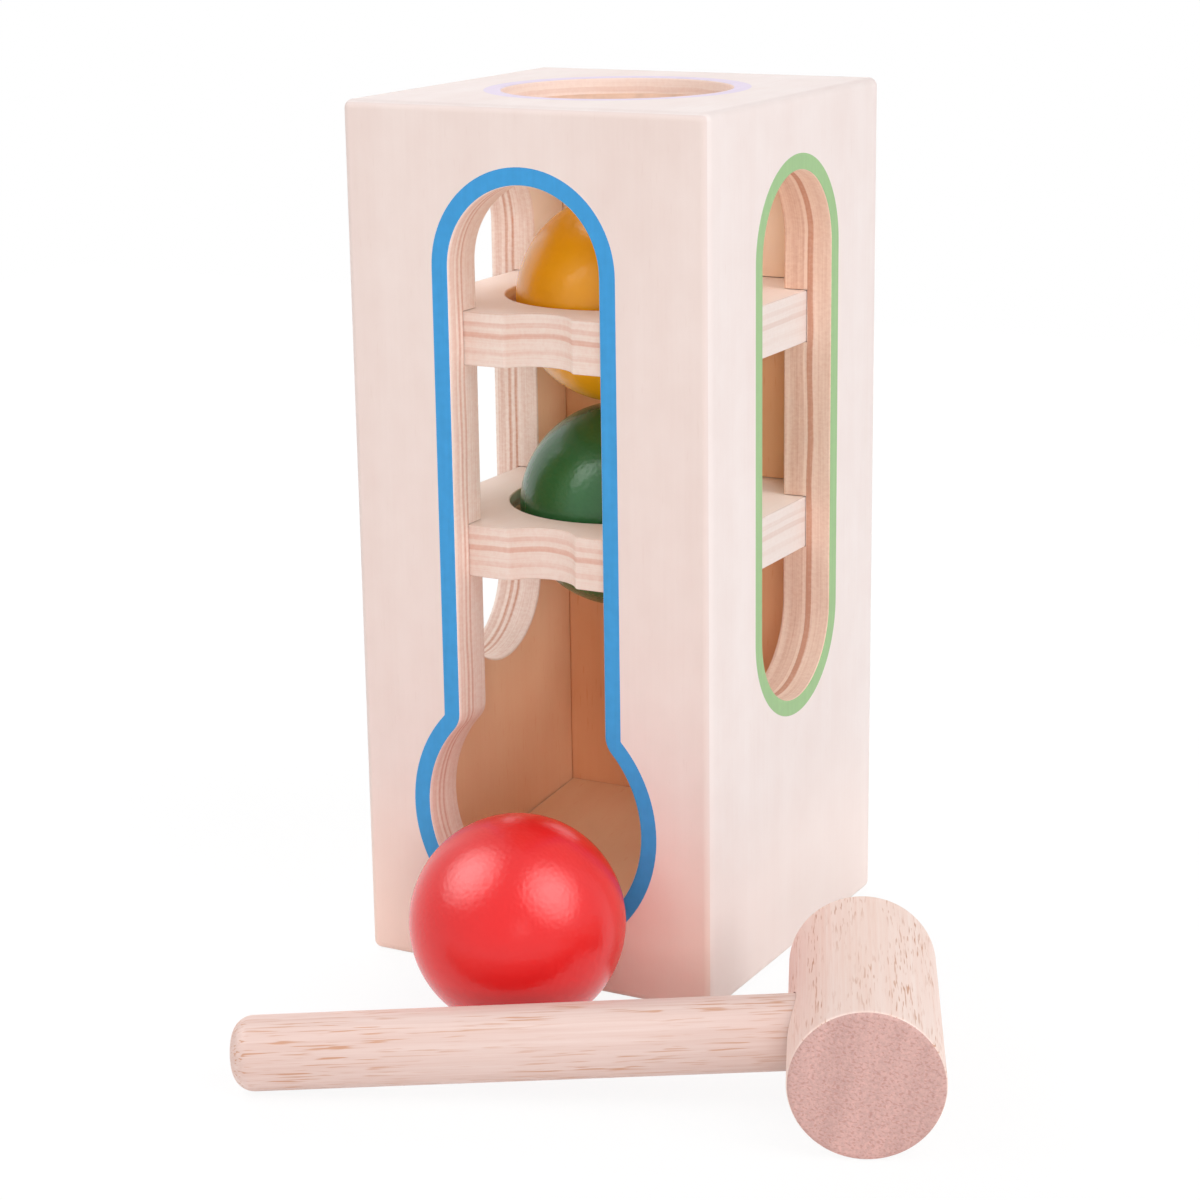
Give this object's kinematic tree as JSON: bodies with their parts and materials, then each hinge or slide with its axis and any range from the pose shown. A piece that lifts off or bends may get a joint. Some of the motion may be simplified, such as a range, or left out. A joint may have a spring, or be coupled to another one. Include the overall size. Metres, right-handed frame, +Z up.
{
  "type": "ball pounding toy",
  "caption": "Square plywood tower with a keyhole front, windows and ball shelves. Balls struck with the wooden hammer drop to a ramp and roll out.",
  "frame": {"origin": "centre of the tower's underside, on the table", "axes": "+Z up, the keyhole front faces -Y, +X to the right of someone who faces the keyhole"},
  "size_m": [0.1633, 0.1747, 0.2],
  "materials": {
    "plywood": "satin",
    "hardwood": "satin",
    "soft_ring": "matte",
    "yellow_paint": "gloss paint",
    "green_paint": "gloss paint",
    "red_paint": "gloss paint"
  },
  "bodies": {
    "tower": {"front_wall": "plywood", "back_wall": "plywood", "left_wall": "plywood", "right_wall": "plywood", "top_plate": "plywood", "base_plate": "plywood", "ramp": "plywood", "upper_shelf": "plywood", "lower_shelf": "plywood", "top_grip_ring": "soft_ring", "upper_grip_ring": "soft_ring", "lower_grip_ring": "soft_ring"},
    "yellow": {"yellow_ball": "yellow_paint"},
    "green": {"green_ball": "green_paint"},
    "red": {"red_ball": "red_paint"},
    "hammer": {"hammer_head": "hardwood", "hammer_handle": "hardwood"}
  },
  "joints": [
    {"name": "yellow_drop", "type": "slide", "parent": "tower", "child": "yellow", "axis": [0, 0, -1], "range_m": [0, 0.0486]},
    {"name": "green_drop", "type": "slide", "parent": "tower", "child": "green", "axis": [0, 0, -1], "range_m": [0, 0.0614]},
    {"name": "red_roll", "type": "slide", "parent": "tower", "child": "red", "axis": [-0.9135, -0.4067, 0], "range_m": [0, 0.08]},
    {"name": "hammer_swing", "type": "hinge", "parent": "tower", "child": "hammer", "pos_m": [-0.02418, -0.12176, 0.00803], "axis": [0.4067, -0.9135, 0], "range_deg": [0, 90]}
  ],
  "couplings": [
    {"joint": "green_drop", "follows": "yellow_drop", "ratio": 1.263}
  ]
}
